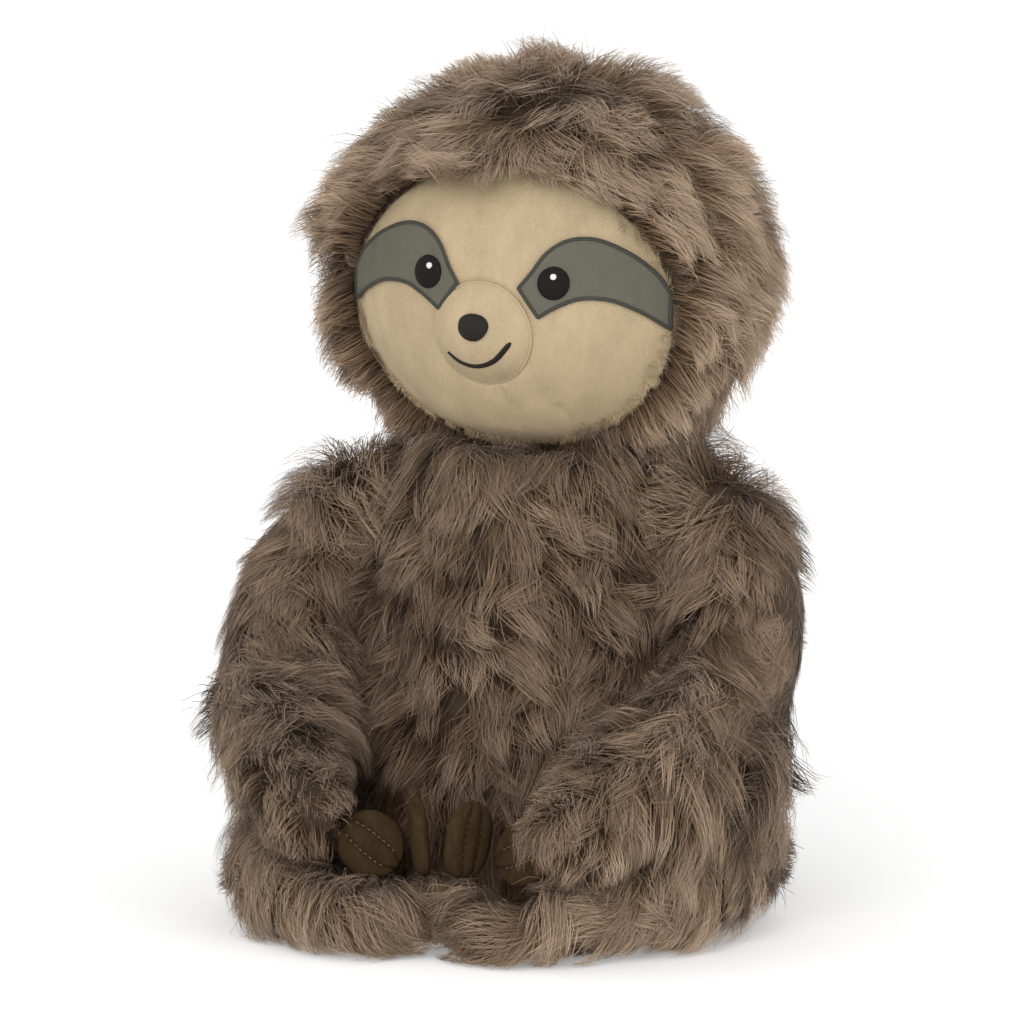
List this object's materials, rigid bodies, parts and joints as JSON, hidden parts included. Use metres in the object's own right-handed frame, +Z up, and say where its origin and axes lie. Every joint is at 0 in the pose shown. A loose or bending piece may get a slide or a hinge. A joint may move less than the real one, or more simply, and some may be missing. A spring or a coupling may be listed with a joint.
{
  "type": "plush sloth",
  "caption": "Seated plush sloth with long brown faux fur, a round cream face, grey eye patches, a padded muzzle, and arms and legs that curl forward to suede claws",
  "frame": {"origin": "middle of the bounding box's base, on the table under the seat", "axes": "+Z up, -Y the way the face looks, +X the toy's own left side"},
  "size_m": [0.235, 0.2334, 0.3266],
  "materials": {
    "brown_fur": "long-pile faux fur",
    "cream_velboa": "short brushed pile",
    "grey_felt": "matte felt",
    "dark_thread": "satin-stitch embroidery",
    "charcoal_thread": "satin-stitch embroidery",
    "white_thread": "satin-stitch embroidery",
    "brown_suede": "matte faux suede",
    "polyester_stuffing": "loose fibre",
    "pouch_cloth": "plain woven cloth"
  },
  "bodies": {
    "torso": {"torso_cover": "brown_fur", "torso_fill": "polyester_stuffing", "pellet_pouch": "pouch_cloth"},
    "neck": {"neck_fill": "polyester_stuffing"},
    "head": {"head_cover": "brown_fur", "head_fill": "polyester_stuffing", "face_panel": "cream_velboa", "muzzle_pad": "cream_velboa", "nose": "charcoal_thread", "mouth": "charcoal_thread", "eye_left": "dark_thread", "eye_right": "dark_thread", "eye_glint_left": "white_thread", "eye_glint_right": "white_thread", "eye_patch_left": "grey_felt", "eye_patch_right": "grey_felt"},
    "left_arm": {"arm_cover_left": "brown_fur", "arm_fill_left": "polyester_stuffing"},
    "left_hand": {"hand_claws_left": "brown_suede"},
    "left_leg": {"leg_cover_left": "brown_fur", "leg_fill_left": "polyester_stuffing"},
    "left_foot": {"foot_claws_left": "brown_suede"},
    "right_arm": {"arm_cover_right": "brown_fur", "arm_fill_right": "polyester_stuffing"},
    "right_hand": {"hand_claws_right": "brown_suede"},
    "right_leg": {"leg_cover_right": "brown_fur", "leg_fill_right": "polyester_stuffing"},
    "right_foot": {"foot_claws_right": "brown_suede"}
  },
  "joints": [
    {"name": "neck_turn", "type": "hinge", "parent": "torso", "child": "neck", "pos_m": [-0.005, 0.03234, 0.182], "axis": [0, 0, 1], "range_deg": [-20, 20], "stiffness_Nm_per_rad": 0.12},
    {"name": "head_nod", "type": "hinge", "parent": "neck", "child": "head", "pos_m": [-0.005, 0.03234, 0.182], "axis": [1, 0, 0], "range_deg": [-6, 6], "stiffness_Nm_per_rad": 0.9},
    {"name": "left_shoulder_raise", "type": "hinge", "parent": "torso", "child": "left_arm", "pos_m": [0.0633, 0.01834, 0.149], "axis": [-1, 0, 0], "range_deg": [0, 70]},
    {"name": "left_wrist_curl", "type": "hinge", "parent": "left_arm", "child": "left_hand", "pos_m": [0.03938, -0.09284, 0.04253], "axis": [-0.2747, 0.3602, 0.8915], "range_deg": [0, 25], "stiffness_Nm_per_rad": 0.02},
    {"name": "left_hip_lower", "type": "hinge", "parent": "torso", "child": "left_leg", "pos_m": [0.0633, 0.00834, 0.028], "axis": [1, 0, 0], "range_deg": [0, 60]},
    {"name": "left_ankle_curl", "type": "hinge", "parent": "left_leg", "child": "left_foot", "pos_m": [0.00831, -0.09227, 0.03218], "axis": [0.4201, 0.9008, -0.1097], "range_deg": [-10, 5], "stiffness_Nm_per_rad": 0.02},
    {"name": "right_shoulder_raise", "type": "hinge", "parent": "torso", "child": "right_arm", "pos_m": [-0.0633, 0.01834, 0.149], "axis": [-1, 0, 0], "range_deg": [0, 70]},
    {"name": "right_wrist_curl", "type": "hinge", "parent": "right_arm", "child": "right_hand", "pos_m": [-0.03752, -0.08869, 0.04382], "axis": [-0.5632, -0.3095, -0.7661], "range_deg": [0, 25], "stiffness_Nm_per_rad": 0.02},
    {"name": "right_hip_lower", "type": "hinge", "parent": "torso", "child": "right_leg", "pos_m": [-0.0633, 0.00834, 0.028], "axis": [1, 0, 0], "range_deg": [0, 60]},
    {"name": "right_ankle_curl", "type": "hinge", "parent": "right_leg", "child": "right_foot", "pos_m": [-0.00831, -0.09227, 0.03218], "axis": [0.4201, -0.9008, 0.1097], "range_deg": [-10, 5], "stiffness_Nm_per_rad": 0.02}
  ]
}
